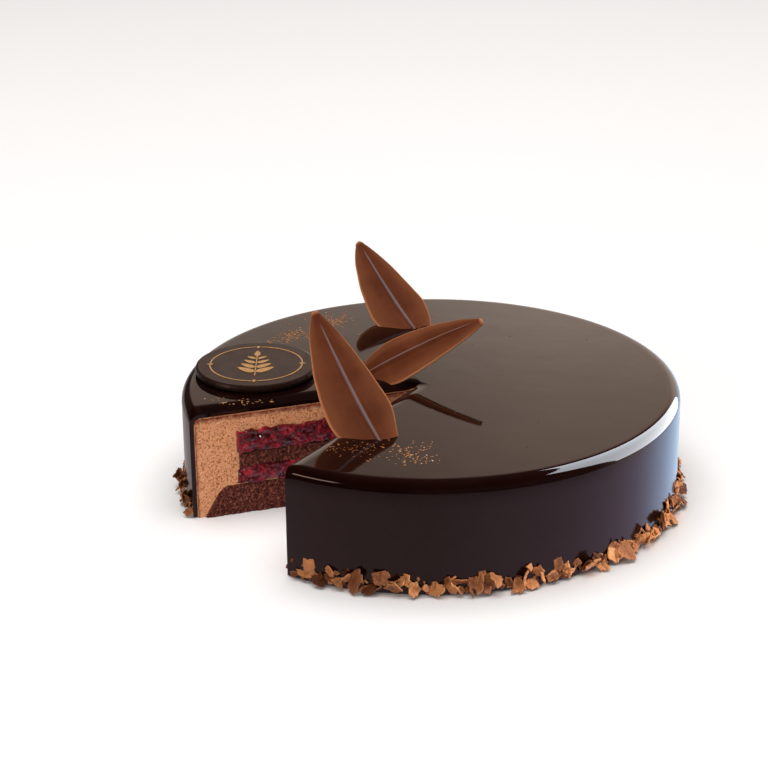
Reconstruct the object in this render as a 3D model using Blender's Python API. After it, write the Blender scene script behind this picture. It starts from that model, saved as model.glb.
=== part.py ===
# A round chocolate mousse cake with one slice taken out: sponge, mousse and cherry layers
# under a mirror glaze, with wafer flakes round the foot, three chocolate leaves and a
# round chocolate disc on top. Metres, +Z up, the origin at the centre of the underside.

import math
import random

import bmesh
import bpy
from mathutils import Vector

# The whole cake
CAKE_RADIUS = 0.115
CAKE_HEIGHT = 0.052
RIM_ROUND = 0.0049
GLAZE_TOP = 0.0015
GLAZE_WALL = 0.0018
GLAZE_FOOT = 0.0006
GAP = 0.0003

# The place of the missing slice: its point, and the directions of its two cuts
NOTCH_POINT = Vector((-0.0044, -0.0022))
NEAR_CUT = math.radians(237.5)
FAR_CUT = math.radians(198.25) + math.tau
NEAR_SLUMP = (0.0012, 0.0055)
FAR_SLUMP = (0.0016, 0.0075)
SLUMP_START = 0.006

# Layers, each by the height of its top
BASE_TOP = 0.0145
LOWER_TOP = 0.0225
MIDDLE_TOP = 0.0295
UPPER_TOP = 0.0403
BASE_FOOT_RADIUS = 0.1098
BASE_TOP_RADIUS = 0.1012
BASE_ROUND = 0.0025
INSERT_RADIUS = 0.094
LOWER_CHERRY_START = 0.052

# The turned grid that all layers share
STEP_ANGLE = math.radians(6.4)
CUT_STEPS = [math.radians(a) for a in (0, 1.0, 2.1, 3.4, 5.0, 7.0, 9.6, 13.0, 18.0, 24.0)]
TOP_RINGS = (0.012, 0.034, 0.072)
ROUND_STEPS = 4
HIDDEN_ROUND_STEPS = 2
FLAT_ANGLE = math.radians(0.02)

# Cherries that bulge out of the cuts
CHERRY_WIDTH = 0.0112
CHERRY_BULGE = 0.0012

# Flakes round the foot
LOW_FLAKE_PITCH = 0.0084
HIGH_FLAKE_PITCH = 0.0160
FLAKE_WIDTHS = (0.0066, 0.0124)
FLAKE_LENGTHS = (0.0056, 0.0114)
FLAKE_THICKNESSES = (0.0006, 0.0009)
FLAKE_CURVES = (-22.0, 34.0)
TURNED_OVER = 0.3
FLAKE_BITE = 0.0006
FLAKE_CORNERS = 5

# Chocolate leaves
LEAF_THICKNESS = 0.0024
LEAF_FOOT_SHARE = 0.65
LEAF_WIDEST = 0.267
LEAF_TIP_ROUND = 0.0024
LEAF_TIP = 0.997
LEAF_RIB = 0.0006
LEAF_GROOVE = 0.0003
LEAF_RIDGE = 0.0004
LEAF_ROWS = 12
LEAF_LINES = (0.08, 0.20, 0.55, 0.8, 1.0)

# The chocolate disc
PLAQUE_CENTRE = (-0.0812, 0.0134)
PLAQUE_RADIUS = 0.0286
PLAQUE_THICKNESS = 0.0035
PLAQUE_ROUND = 0.0013


def clear_scene():
    for item in list(bpy.data.objects):
        bpy.data.objects.remove(item, do_unlink=True)


def food_material(name, colour, roughness):
    material = bpy.data.materials.new(name)
    material.use_nodes = True
    shader = material.node_tree.nodes["Principled BSDF"]
    shader.inputs["Base Color"].default_value = (*colour, 1.0)
    shader.inputs["Roughness"].default_value = roughness
    shader.inputs["Metallic"].default_value = 0.0
    material.diffuse_color = (*colour, 1.0)
    return material


def add_object(name, mesh, material):
    mesh.materials.clear()
    mesh.materials.append(material)
    item = bpy.data.objects.new(name, mesh)
    bpy.context.scene.collection.objects.link(item)
    return item


def finish_mesh(bm, name, smooth_angle):
    bmesh.ops.recalc_face_normals(bm, faces=bm.faces)
    mesh = bpy.data.meshes.new(name)
    bm.to_mesh(mesh)
    bm.free()
    mesh.shade_smooth()
    mesh.set_sharp_from_angle(angle=math.radians(smooth_angle))
    return mesh


# The glaze slumps a little towards both cuts, from a little way out of the notch's point,
# and what lies under it follows.
def slump(x, y):
    offset = Vector((x, y)) - NOTCH_POINT
    deepest = 0.0
    for direction, (depth, width) in ((NEAR_CUT, NEAR_SLUMP), (FAR_CUT, FAR_SLUMP)):
        along = Vector((math.cos(direction), math.sin(direction)))
        reach = max(offset.dot(along), 0.0)
        distance = (offset - along * reach).length
        share = max(1.0 - distance / width, 0.0)
        share *= share * min(reach / SLUMP_START, 1.0)
        deepest = max(deepest, depth * share)
    return deepest


def top_height(x, y):
    return CAKE_HEIGHT - slump(x, y)


# How far it is from the notch's point to a circle about the cake's axis.
def reach_to_circle(angle, radius):
    along = Vector((math.cos(angle), math.sin(angle)))
    middle = NOTCH_POINT.dot(along)
    return -middle + math.sqrt(middle * middle - NOTCH_POINT.length_squared + radius * radius)


def turn_angles():
    start = [NEAR_CUT + a for a in CUT_STEPS]
    end = [FAR_CUT - a for a in reversed(CUT_STEPS)]
    span = end[0] - start[-1]
    count = round(span / STEP_ANGLE)
    between = [start[-1] + span * i / count for i in range(1, count)]
    return start + between + end


# A profile is a closed loop of (radius, height, follows), where radius 0 is the notch's
# point and follows is the share of the glaze's slump that moves it down.
def turned_layer(name, profile, material):
    bm = bmesh.new()
    point = {}
    columns = []
    for angle in turn_angles():
        column = []
        for j, (radius, height, follows) in enumerate(profile):
            reach = reach_to_circle(angle, radius) if radius else 0.0
            x = NOTCH_POINT.x + reach * math.cos(angle)
            y = NOTCH_POINT.y + reach * math.sin(angle)
            z = height - follows * slump(x, y)
            if radius:
                column.append(bm.verts.new((x, y, z)))
            else:
                if j not in point:
                    point[j] = bm.verts.new((x, y, z))
                column.append(point[j])
        columns.append(column)
    count = len(profile)
    for left, right in zip(columns, columns[1:]):
        for j in range(count):
            k = (j + 1) % count
            corners = list(dict.fromkeys((left[j], left[k], right[k], right[j])))
            if len(corners) > 2:
                bm.faces.new(corners)
    bm.faces.new(columns[0])
    bm.faces.new(columns[-1])
    bmesh.ops.dissolve_limit(bm, angle_limit=FLAT_ANGLE, verts=bm.verts, edges=bm.edges)
    return add_object(name, finish_mesh(bm, name, 35), material)


def rounded(radius, height, size, follows, steps=ROUND_STEPS):
    """Points of a quarter round from its top inner end to its outer lower end."""
    points = []
    for i in range(steps + 1):
        turn = math.pi / 2 * i / steps
        across = radius - size + size * math.sin(turn)
        points.append((across, height - size + size * math.cos(turn), follows))
    return points


def slab(inner, outer, low, high):
    """A flat ring, or a disc where inner is 0."""
    return [(inner, high, 0), (outer, high, 0), (outer, low, 0), (inner, low, 0)]


def top_points(height):
    return [(0, height, 1)] + [(radius, height, 1) for radius in TOP_RINGS]


def base_profile():
    side = rounded(BASE_TOP_RADIUS, BASE_TOP, BASE_ROUND, 0)
    return [(0, BASE_TOP, 0)] + side + [(BASE_FOOT_RADIUS, 0, 0), (0, 0, 0)]


def mousse_profile():
    radius = CAKE_RADIUS - GLAZE_WALL - GAP
    height = CAKE_HEIGHT - GLAZE_TOP - GAP
    outside = rounded(radius, height, RIM_ROUND - GLAZE_WALL, 1, HIDDEN_ROUND_STEPS)
    side = rounded(BASE_TOP_RADIUS + GAP, BASE_TOP + GAP, BASE_ROUND, 0)
    side = [point for point in side if point[0] >= INSERT_RADIUS + GAP]
    ring_foot = [(BASE_FOOT_RADIUS + GAP, 0, 0)] + side[::-1]
    hollow = [(INSERT_RADIUS + GAP, BASE_TOP + GAP, 0), (INSERT_RADIUS + GAP, UPPER_TOP + GAP, 0)]
    return top_points(height) + outside + [(radius, 0, 0)] + ring_foot + hollow + [(0, UPPER_TOP + GAP, 0)]


def glaze_profile():
    outside = rounded(CAKE_RADIUS, CAKE_HEIGHT, RIM_ROUND, 1)
    inner_radius = CAKE_RADIUS - GLAZE_WALL
    inner_height = CAKE_HEIGHT - GLAZE_TOP
    inside = rounded(inner_radius, inner_height, RIM_ROUND - GLAZE_WALL, 1, HIDDEN_ROUND_STEPS)
    foot = [(CAKE_RADIUS, GLAZE_FOOT, 0), (inner_radius, GLAZE_FOOT, 0)]
    return top_points(CAKE_HEIGHT) + outside + foot + inside[::-1] + top_points(inner_height)[::-1]


# Fuses loose solids to a body, and keeps the body's own piece only.
def fuse(body, extras):
    group = bpy.data.collections.new(body.name + "_extras")
    bpy.context.scene.collection.children.link(group)
    for item in extras:
        bpy.context.scene.collection.objects.unlink(item)
        group.objects.link(item)
    union = body.modifiers.new("Union", "BOOLEAN")
    union.operation = "UNION"
    union.operand_type = "COLLECTION"
    union.collection = group
    union.solver = "EXACT"
    graph = bpy.context.evaluated_depsgraph_get()
    mesh = bpy.data.meshes.new_from_object(body.evaluated_get(graph))
    body.modifiers.clear()
    material = body.data.materials[0]
    body.data = mesh
    for item in extras:
        bpy.data.objects.remove(item, do_unlink=True)
    bpy.data.collections.remove(group)
    tidy_union(body, material)


def tidy_union(body, material):
    bm = bmesh.new()
    bm.from_mesh(body.data)
    keep_largest(bm)
    bmesh.ops.triangulate(bm, faces=bm.faces)
    bm.to_mesh(body.data)
    bm.free()
    body.data.materials.clear()
    body.data.materials.append(material)
    body.data.shade_smooth()
    body.data.set_sharp_from_angle(angle=math.radians(30))


def keep_largest(bm):
    waiting = set(bm.faces)
    pieces = []
    while waiting:
        stack = [waiting.pop()]
        piece = set(stack)
        while stack:
            for edge in stack.pop().edges:
                for face in edge.link_faces:
                    if face in waiting:
                        waiting.remove(face)
                        piece.add(face)
                        stack.append(face)
        pieces.append(piece)
    pieces.sort(key=len, reverse=True)
    scraps = [face for piece in pieces[1:] for face in piece]
    if scraps:
        bmesh.ops.delete(bm, geom=scraps, context="FACES")


# One cherry half, set in the layer behind a cut so that it bulges a little out of it.
def cherry(name, direction, inward, reach, low, high, width, material):
    along = Vector((math.cos(direction), math.sin(direction)))
    into = Vector((math.cos(inward), math.sin(inward)))
    half_height = (high - low) / 2 - GAP
    centre = NOTCH_POINT + along * reach + into * (width / 2 - CHERRY_BULGE)
    bm = bmesh.new()
    bmesh.ops.create_icosphere(bm, subdivisions=2, radius=1.0)
    for vert in bm.verts:
        across = vert.co.x * width / 2
        depth = vert.co.y * width / 2
        place = centre + along * across + into * depth
        vert.co = Vector((place.x, place.y, (low + high) / 2 + vert.co.z * half_height))
    return add_object(name, finish_mesh(bm, name, 180), material)


def cherry_row(label, first, last, low, high, seed, material):
    draw = random.Random(seed)
    cherries = []
    cuts = ((NEAR_CUT, NEAR_CUT + math.pi / 2), (FAR_CUT, FAR_CUT - math.pi / 2))
    for side, (direction, inward) in enumerate(cuts):
        reach = first
        while reach < last:
            width = CHERRY_WIDTH * draw.uniform(0.82, 1.15)
            squeeze = draw.uniform(0.0, 0.12) * (high - low)
            name = f"{label}_{side}_{len(cherries)}"
            cherries.append(cherry(name, direction, inward, reach, low + squeeze, high, width, material))
            reach += width * draw.uniform(0.92, 1.25)
    return cherries


# A flake is a thin plate with uneven corners, bent round its upright.
def flake(name, angle, height, width, length, lean, yaw, draw, material):
    outward = Vector((math.cos(angle), math.sin(angle), 0))
    sideways = Vector((-math.sin(angle), math.cos(angle), 0))
    face = outward * math.cos(yaw) + sideways * math.sin(yaw)
    level = sideways * math.cos(yaw) - outward * math.sin(yaw)
    upright = Vector((0, 0, 1)) * math.cos(lean) - face * math.sin(lean)
    normal = level.cross(upright)
    thickness = draw.uniform(*FLAKE_THICKNESSES)
    curve = draw.uniform(*FLAKE_CURVES)
    spin = draw.uniform(0, math.tau)
    corners = []
    for i in range(FLAKE_CORNERS):
        turn = spin + math.tau * (i + draw.uniform(-0.32, 0.32)) / FLAKE_CORNERS
        size = draw.uniform(0.58, 1.20)
        across = math.cos(turn) * size * width / 2
        along = math.sin(turn) * size * length / 2
        corners.append(level * across + upright * along + normal * (curve * across * across))
    points = [c + normal * thickness / 2 for c in corners] + [c - normal * thickness / 2 for c in corners]
    centre = outward * (CAKE_RADIUS + length) + Vector((0, 0, height))
    nearest = min((centre + p).to_2d().length for p in points)
    centre -= outward * (nearest - CAKE_RADIUS + FLAKE_BITE)
    lowest = min((centre + p).z for p in points)
    centre.z += max(GLAZE_FOOT - lowest, 0.0)
    bm = bmesh.new()
    verts = [bm.verts.new(centre + p) for p in points]
    top = verts[:FLAKE_CORNERS]
    bottom = verts[FLAKE_CORNERS:]
    for i in range(1, FLAKE_CORNERS - 1):
        bm.faces.new((top[0], top[i], top[i + 1]))
        bm.faces.new((bottom[0], bottom[i + 1], bottom[i]))
    for i in range(FLAKE_CORNERS):
        k = (i + 1) % FLAKE_CORNERS
        bm.faces.new((top[i], bottom[i], bottom[k]))
        bm.faces.new((top[i], bottom[k], top[k]))
    return add_object(name, finish_mesh(bm, name, 20), material)


def flake_row(label, pitch, heights, leans, seed, material):
    draw = random.Random(seed)
    span = (FAR_CUT - NEAR_CUT) * CAKE_RADIUS
    count = int(span / pitch)
    flakes = []
    for i in range(count):
        place = (i + 0.5 + draw.uniform(-0.3, 0.3)) / count
        angle = NEAR_CUT + (FAR_CUT - NEAR_CUT) * place
        height = draw.uniform(*heights)
        width = draw.uniform(*FLAKE_WIDTHS)
        length = draw.uniform(*FLAKE_LENGTHS)
        lean = math.radians(draw.uniform(*leans))
        if draw.random() < TURNED_OVER:
            lean = -0.7 * lean
        yaw = math.radians(draw.uniform(-38, 38))
        flakes.append(flake(f"{label}_{i}", angle, height, width, length, lean, yaw, draw, material))
    return flakes


# Half the leaf's width, where t runs from its foot (0) to its rounded tip (1).
def leaf_half_width(t, length, width):
    if t < LEAF_WIDEST:
        share = LEAF_FOOT_SHARE + (1 - LEAF_FOOT_SHARE) * math.sin(math.pi / 2 * t / LEAF_WIDEST)
    else:
        share = (1 - ((t - LEAF_WIDEST) / (1 - LEAF_WIDEST)) ** 1.39) ** 0.65
    from_tip = min((1 - t) * length, LEAF_TIP_ROUND)
    tip = math.sqrt(LEAF_TIP_ROUND ** 2 - (LEAF_TIP_ROUND - from_tip) ** 2)
    return max(width / 2 * share, tip)


# Height of the leaf's face over its flat, s from -1 to 1 across: a slim rib down the
# middle, a groove on each side of it, and a softer ridge out towards each edge.
def leaf_relief(s, t):
    rib = math.exp(-((s / 0.09) ** 2))
    groove = math.exp(-(((abs(s) - 0.18) / 0.09) ** 2))
    ridge = math.exp(-(((abs(s) - 0.55) / 0.17) ** 2))
    fade = min(1.0, 3.0 * (1.0 - t))
    return fade * (LEAF_RIB * rib - LEAF_GROOVE * groove + LEAF_RIDGE * ridge)


class Leaf:
    """A chocolate leaf that stands on the glaze and leans over.

    Its upper face is on the normal's far side. The edges fall back from the rib by the
    fold, and the skew makes one half wider than the other.
    """

    def __init__(self, foot, heading, lean, turn, length, width, curl, fold, skew):
        heading = math.radians(heading)
        lean = math.radians(lean)
        turn = math.radians(turn)
        out = Vector((math.cos(heading), math.sin(heading), 0))
        level = Vector((-math.sin(heading), math.cos(heading), 0))
        self.axis = out * math.sin(lean) + Vector((0, 0, 1)) * math.cos(lean)
        self.across = level * math.cos(turn) + self.axis.cross(level) * math.sin(turn)
        self.normal = self.across.cross(self.axis)
        self.foot = Vector(foot)
        self.length = length
        self.width = width
        self.curl = curl
        self.fold = math.radians(fold)
        self.skew = skew

    def point(self, s, t, side):
        half = leaf_half_width(t, self.length, self.width) * (1 + self.skew * math.copysign(1.0, s))
        reach = half * s * math.cos(self.fold)
        back = half * abs(s) * math.sin(self.fold)
        edge = 1.0 - 0.55 * s * s
        lift = back + self.curl * 4 * t * (1 - t) - leaf_relief(s, t) + side * LEAF_THICKNESS / 2 * edge
        return self.foot + self.axis * (self.length * t) + self.across * reach + self.normal * lift

    # The share of the length at which a line up the leaf comes out of the glaze.
    def start(self, s, side):
        low = 0.0
        high = 0.5
        for _ in range(30):
            middle = (low + high) / 2
            place = self.point(s, middle, side)
            if place.z < top_height(place.x, place.y) + GAP:
                low = middle
            else:
                high = middle
        return high


def leaf_object(name, leaf, material):
    bm = bmesh.new()
    faces = {}
    lines = [-s for s in reversed(LEAF_LINES)] + [0.0] + list(LEAF_LINES)
    for side in (1, -1):
        starts = [leaf.start(s, side) for s in lines]
        rows = []
        for i in range(LEAF_ROWS):
            share = math.sin(math.pi / 2 * i / (LEAF_ROWS - 1))
            row = []
            for s, start in zip(lines, starts):
                t = start + (LEAF_TIP - start) * share
                row.append(bm.verts.new(leaf.point(s, t, side)))
            rows.append(row)
        faces[side] = rows
        for i in range(LEAF_ROWS - 1):
            for j in range(len(lines) - 1):
                a, b = rows[i][j], rows[i][j + 1]
                c, d = rows[i + 1][j + 1], rows[i + 1][j]
                bm.faces.new((a, b, c))
                bm.faces.new((a, c, d))
    front = leaf_border(faces[1])
    back = leaf_border(faces[-1])
    for i in range(len(front)):
        k = (i + 1) % len(front)
        bm.faces.new((front[i], front[k], back[k], back[i]))
    return add_object(name, finish_mesh(bm, name, 50), material)


def leaf_border(rows):
    right = [row[-1] for row in rows[1:-1]]
    left = [row[0] for row in rows[-2:0:-1]]
    return rows[0] + right + rows[-1][::-1] + left


def plaque_object(material):
    bm = bmesh.new()
    bmesh.ops.create_cone(
        bm,
        cap_ends=True,
        segments=48,
        radius1=PLAQUE_RADIUS,
        radius2=PLAQUE_RADIUS,
        depth=PLAQUE_THICKNESS,
    )
    rims = [edge for edge in bm.edges if abs(edge.verts[0].co.z - edge.verts[1].co.z) < 1e-6]
    bmesh.ops.bevel(bm, geom=rims, offset=PLAQUE_ROUND, segments=2, profile=0.5, affect="EDGES")
    lift = CAKE_HEIGHT + GAP + PLAQUE_THICKNESS / 2
    bmesh.ops.translate(bm, verts=bm.verts, vec=(*PLAQUE_CENTRE, lift))
    return add_object("plaque", finish_mesh(bm, "plaque", 35), material)


def layers():
    sponge = food_material("dark_sponge", (0.105, 0.022, 0.015), 0.9)
    mousse = food_material("light_mousse", (0.62, 0.31, 0.15), 0.8)
    filling = food_material("cherry_filling", (0.20, 0.012, 0.018), 0.25)
    turned_layer("base_sponge", base_profile(), sponge)
    turned_layer("mousse_lower", slab(0, LOWER_CHERRY_START - GAP, BASE_TOP + GAP, LOWER_TOP), mousse)
    lower_floor = BASE_TOP + GAP
    upper_floor = MIDDLE_TOP + GAP
    lower = slab(LOWER_CHERRY_START, INSERT_RADIUS, lower_floor, LOWER_TOP)
    upper = slab(0, INSERT_RADIUS, upper_floor, UPPER_TOP)
    cherry_lower = turned_layer("cherry_lower", lower, filling)
    turned_layer("sponge_middle", slab(0, INSERT_RADIUS, LOWER_TOP + GAP, MIDDLE_TOP), sponge)
    cherry_upper = turned_layer("cherry_upper", upper, filling)
    turned_layer("mousse", mousse_profile(), mousse)
    clear = CHERRY_WIDTH * 0.62
    start = LOWER_CHERRY_START + clear + NOTCH_POINT.length
    end = INSERT_RADIUS - clear - NOTCH_POINT.length
    fuse(cherry_lower, cherry_row("low_cherry", start, end, lower_floor, LOWER_TOP, 5, filling))
    fuse(cherry_upper, cherry_row("high_cherry", clear * 2, end, upper_floor, UPPER_TOP, 8, filling))


def glaze_with_flakes():
    mirror = food_material("mirror_glaze", (0.022, 0.009, 0.007), 0.08)
    glaze = turned_layer("glaze", glaze_profile(), mirror)
    low = flake_row("low_flake", LOW_FLAKE_PITCH, (0.0022, 0.0040), (14, 62), 23, mirror)
    high = flake_row("high_flake", HIGH_FLAKE_PITCH, (0.0056, 0.0086), (-12, 34), 35, mirror)
    fuse(glaze, low + high)


def decorations():
    milk = food_material("milk_chocolate", (0.20, 0.055, 0.028), 0.38)
    dark = food_material("dark_chocolate", (0.045, 0.020, 0.014), 0.35)
    front_foot = (-0.0229, -0.0687, CAKE_HEIGHT - 0.0015)
    back_foot = (-0.0056, 0.0679, CAKE_HEIGHT - 0.0009)
    side_foot = (-0.0287, 0.0083, CAKE_HEIGHT - 0.0004)
    front = Leaf(front_foot, 124.4, 48.7, -19.0, 0.0688, 0.0295, 0.0025, 6.0, 0.14)
    back = Leaf(back_foot, 120.6, 61.3, -12.5, 0.0630, 0.0286, 0.0014, 7.0, 0.06)
    side = Leaf(side_foot, 0.1, 63.8, 25.6, 0.0594, 0.0277, -0.0015, 1.0, -0.02)
    leaf_object("leaf_front", front, milk)
    leaf_object("leaf_back", back, milk)
    leaf_object("leaf_side", side, milk)
    plaque_object(dark)


clear_scene()
layers()
glaze_with_flakes()
decorations()
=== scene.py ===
import math
import random

import bmesh
import bpy
from mathutils import Matrix, Vector, noise


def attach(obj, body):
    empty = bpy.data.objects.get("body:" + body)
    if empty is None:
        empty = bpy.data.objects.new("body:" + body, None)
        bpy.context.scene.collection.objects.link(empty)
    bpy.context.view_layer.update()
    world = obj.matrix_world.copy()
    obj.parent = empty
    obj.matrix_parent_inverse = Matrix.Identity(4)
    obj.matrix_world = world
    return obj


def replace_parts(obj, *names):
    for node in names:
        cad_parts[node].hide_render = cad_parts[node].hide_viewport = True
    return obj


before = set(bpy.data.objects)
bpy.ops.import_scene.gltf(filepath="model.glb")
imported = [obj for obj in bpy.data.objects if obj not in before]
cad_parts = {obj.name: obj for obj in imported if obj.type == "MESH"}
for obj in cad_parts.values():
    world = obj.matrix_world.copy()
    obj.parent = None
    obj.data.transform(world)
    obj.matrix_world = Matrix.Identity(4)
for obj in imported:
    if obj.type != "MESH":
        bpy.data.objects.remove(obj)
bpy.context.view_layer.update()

# The cake's own sizes, in metres, as the solids have them
CAKE_RADIUS = 0.115
CAKE_HEIGHT = 0.052
RIM_ROUND = 0.0049
GLAZE_TOP = 0.0015
GLAZE_WALL = 0.0018
GLAZE_FOOT = 0.0006
GAP = 0.0003
NOTCH_POINT = Vector((-0.0044, -0.0022))
NEAR_CUT = math.radians(237.5)
FAR_CUT = math.radians(198.25) + math.tau
NEAR_SLUMP = (0.0012, 0.0055)
FAR_SLUMP = (0.0016, 0.0075)
SLUMP_START = 0.006
BASE_TOP = 0.0145
LOWER_TOP = 0.0225
MIDDLE_TOP = 0.0295
UPPER_TOP = 0.0403
BASE_FOOT_RADIUS = 0.1098
BASE_TOP_RADIUS = 0.1012
INSERT_RADIUS = 0.094
LOWER_CHERRY_START = 0.052

# The photograph's camera
CAMERA_TILT = math.radians(22.0)
CAMERA_ROLL = math.radians(0.61)
CAMERA_DISTANCE = 1.0
CAMERA_AIM = Vector((-0.0215, 0.0, 0.0503))
CAMERA_LENS = 101.2


# Materials

LEAF_RIM_LIGHT = "leaf_painted_rim_light"
LEAF_RIB_HIGHLIGHT = "leaf_painted_rib_highlight"
MOUSSE_STAIN = "mousse_stain"
# Each flake's or crumb's own tone, with a painted highlight towards each flake's rim
FLAKE_TONE_AND_EDGE_HIGHLIGHT = "flake_tone_and_edge_highlight"
NOISE_RANGE = (0.3, 0.7)

# Colours from dark to pale
GLAZE_COLOURS = ((0.0048, 0.0011, 0.0008), (0.0072, 0.0019, 0.0014))
MOUSSE_STOPS = [(0.36, (0.36, 0.092, 0.029)), (0.60, (0.64, 0.275, 0.122)), (0.78, (0.79, 0.45, 0.28))]
STAIN_COLOUR = (0.13, 0.018, 0.008)
SPONGE_STOPS = [
    (0.26, (0.014, 0.003, 0.002)),
    (0.48, (0.088, 0.018, 0.012)),
    (0.68, (0.210, 0.056, 0.036)),
    (0.86, (0.420, 0.170, 0.105)),
]
CHERRY_STOPS = [(0.38, (0.018, 0.001, 0.002)), (0.53, (0.125, 0.004, 0.010)), (0.70, (0.46, 0.020, 0.040))]
LEAF_COLOURS = ((0.080, 0.0205, 0.0085), (0.126, 0.0360, 0.0150))
# Pale tint of the painted highlight along the leaf's rib
LEAF_RIB_HIGHLIGHT_COLOUR = (0.28, 0.27, 0.30)
# Paler orange painted along the leaf's edges as rim light
LEAF_RIM_LIGHT_COLOUR = (0.44, 0.170, 0.072)
PLAQUE_COLOURS = ((0.017, 0.0075, 0.0055), (0.023, 0.0110, 0.0078))
FLAKE_STOPS = [
    (0.22, (0.055, 0.014, 0.005)),
    (0.48, (0.20, 0.068, 0.024)),
    (0.78, (0.48, 0.200, 0.075)),
    (0.93, (0.72, 0.45, 0.26)),
]
GOLD_COLOURS = ((0.38, 0.19, 0.060), (0.56, 0.31, 0.110))
FLOOR_COLOURS = ((0.90, 0.90, 0.90), (0.92, 0.92, 0.92))

# The glaze is glossier above this band of heights than below it
GLOSS_BAND = (0.0440, 0.0500)
WALL_ROUGHNESS = 0.15
TOP_ROUGHNESS = 0.030


class Nodes:
    """Makes and links the nodes of one shader tree."""

    def __init__(self, tree):
        self.tree = tree

    def node(self, kind, **settings):
        node = self.tree.nodes.new(kind)
        for name, value in settings.items():
            setattr(node, name, value)
        return node

    def fill(self, socket, value):
        """Link a node's output to a socket, or set the socket to a number or a colour."""
        if isinstance(value, bpy.types.NodeSocket):
            self.tree.links.new(value, socket)
        elif isinstance(value, tuple):
            socket.default_value = (*value, 1.0)
        else:
            socket.default_value = value

    def maths(self, kind, first, second):
        node = self.node("ShaderNodeMath", operation=kind)
        self.fill(node.inputs[0], first)
        self.fill(node.inputs[1], second)
        return node.outputs[0]

    def span(self, value, from_low, from_high, to_low, to_high, kind="LINEAR"):
        node = self.node("ShaderNodeMapRange", interpolation_type=kind)
        numbers = (from_low, from_high, to_low, to_high)
        for name, number in zip(("From Min", "From Max", "To Min", "To Max"), numbers):
            node.inputs[name].default_value = number
        self.fill(node.inputs["Value"], value)
        return node.outputs["Result"]

    def ramp(self, value, stops):
        node = self.node("ShaderNodeValToRGB")
        elements = node.color_ramp.elements
        while len(elements) < len(stops):
            elements.new(0.5)
        for element, (position, colour) in zip(elements, stops):
            element.position = position
            element.color = (*colour, 1.0)
        self.fill(node.inputs["Fac"], value)
        return node.outputs["Color"]

    def blend(self, share, first, second, kind="MIX"):
        node = self.node("ShaderNodeMix", data_type="RGBA", blend_type=kind)
        self.fill(node.inputs["Factor"], share)
        self.fill(node.inputs[6], first)
        self.fill(node.inputs[7], second)
        return node.outputs[2]


class Look(Nodes):
    """A Principled material whose colour, roughness and bump come from nodes."""

    def __init__(self, name, roughness=0.5, ior=1.5):
        self.material = bpy.data.materials.new(name)
        self.material.use_nodes = True
        super().__init__(self.material.node_tree)
        self.shader = self.tree.nodes["Principled BSDF"]
        self.set(Roughness=roughness, IOR=ior)
        self.place = self.node("ShaderNodeTexCoord").outputs["Object"]

    def noise(self, size, detail=4.0, rough=0.55):
        """Noise whose lumps are about size metres across."""
        node = self.node("ShaderNodeTexNoise")
        node.inputs["Scale"].default_value = 1.0 / size
        node.inputs["Detail"].default_value = detail
        node.inputs["Roughness"].default_value = rough
        self.fill(node.inputs["Vector"], self.place)
        return node.outputs["Fac"]

    def drift(self, noise, low, high):
        """A number that follows noise from low to high."""
        return self.span(noise, *NOISE_RANGE, low, high)

    def mottle(self, noise, colours):
        return self.ramp(noise, list(zip(NOISE_RANGE, colours)))

    def weigh(self, first, weight, second, other_weight):
        weighed = self.maths("MULTIPLY", first, weight)
        return self.maths("ADD", weighed, self.maths("MULTIPLY", second, other_weight))

    def cells(self, size):
        node = self.node("ShaderNodeTexVoronoi")
        node.inputs["Scale"].default_value = 1.0 / size
        self.fill(node.inputs["Vector"], self.place)
        return node.outputs["Distance"]

    def height(self):
        node = self.node("ShaderNodeSeparateXYZ")
        self.fill(node.inputs[0], self.place)
        return node.outputs[2]

    def attribute(self, name):
        return self.node("ShaderNodeAttribute", attribute_name=name).outputs["Fac"]

    def colour(self, value):
        self.fill(self.shader.inputs["Base Color"], value)

    def roughness(self, value):
        self.fill(self.shader.inputs["Roughness"], value)

    def bump(self, height, depth):
        node = self.node("ShaderNodeBump")
        node.inputs["Distance"].default_value = depth
        self.fill(node.inputs["Height"], height)
        self.fill(self.shader.inputs["Normal"], node.outputs["Normal"])

    def set(self, **values):
        for name, value in values.items():
            self.shader.inputs[name.replace("_", " ")].default_value = value


def glaze_look():
    look = Look("mirror_glaze")
    look.colour(look.mottle(look.noise(0.030, 3.0), GLAZE_COLOURS))
    wall = look.span(look.height(), *GLOSS_BAND, WALL_ROUGHNESS, TOP_ROUGHNESS)
    look.roughness(look.maths("ADD", wall, look.drift(look.noise(0.004), -0.006, 0.008)))
    ripple = look.noise(0.016, 2.0, 0.4)
    pits = look.span(look.cells(0.019), 0.0, 0.030, -0.8, 0.0)
    fine = look.maths("MULTIPLY", look.noise(0.0007, 2.0), 0.10)
    look.bump(look.maths("ADD", look.maths("ADD", ripple, pits), fine), 0.00004)
    return look.material


def mousse_look():
    look = Look("light_mousse", 0.75, 1.4)
    grain = look.noise(0.0013, 6.0, 0.70)
    fine = look.noise(0.00045, 3.0, 0.6)
    # Darker spots for the pores: painted shade in them, over the mousse's own mottled tone
    shaded_pores = look.span(look.noise(0.0008, 2.0, 0.5), 0.34, 0.44, 0.0, 1.0)
    body = look.weigh(grain, 0.6, fine, 0.4)
    tone = look.ramp(look.weigh(body, 0.74, shaded_pores, 0.26), MOUSSE_STOPS)
    look.colour(look.blend(look.attribute(MOUSSE_STAIN), tone, STAIN_COLOUR))
    look.bump(look.maths("ADD", grain, shaded_pores), 0.00030)
    look.set(Subsurface_Weight=0.12, Subsurface_Scale=0.0012)
    return look.material


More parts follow.
